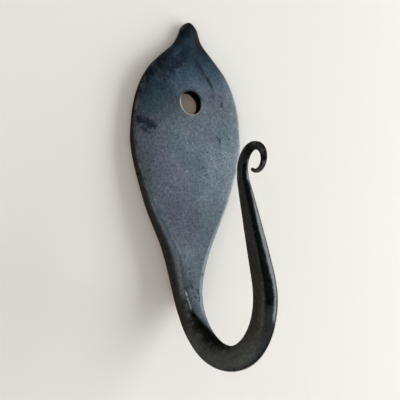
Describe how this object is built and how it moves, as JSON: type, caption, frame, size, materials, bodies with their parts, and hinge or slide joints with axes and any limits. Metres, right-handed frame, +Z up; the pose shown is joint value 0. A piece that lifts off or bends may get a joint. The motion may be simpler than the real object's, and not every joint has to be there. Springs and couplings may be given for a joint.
{
  "type": "wall hook",
  "caption": "Hand-forged iron wall hook with a leaf-shaped back plate, a plain screw hole and a J-shaped arm ending in a small outward scroll.",
  "frame": {"origin": "centre of the screw hole on the back face, which is the wall plane", "axes": "+Z up along the wall, -Y away from the wall along the screw hole, +X to the right of someone who faces the wall"},
  "size_m": [0.034, 0.0353, 0.0908],
  "materials": {
    "forged_iron": "blackened and waxed, slightly glossy, pitted with forge scale"
  },
  "bodies": {
    "root": {"hook": "forged_iron"}
  },
  "joints": []
}
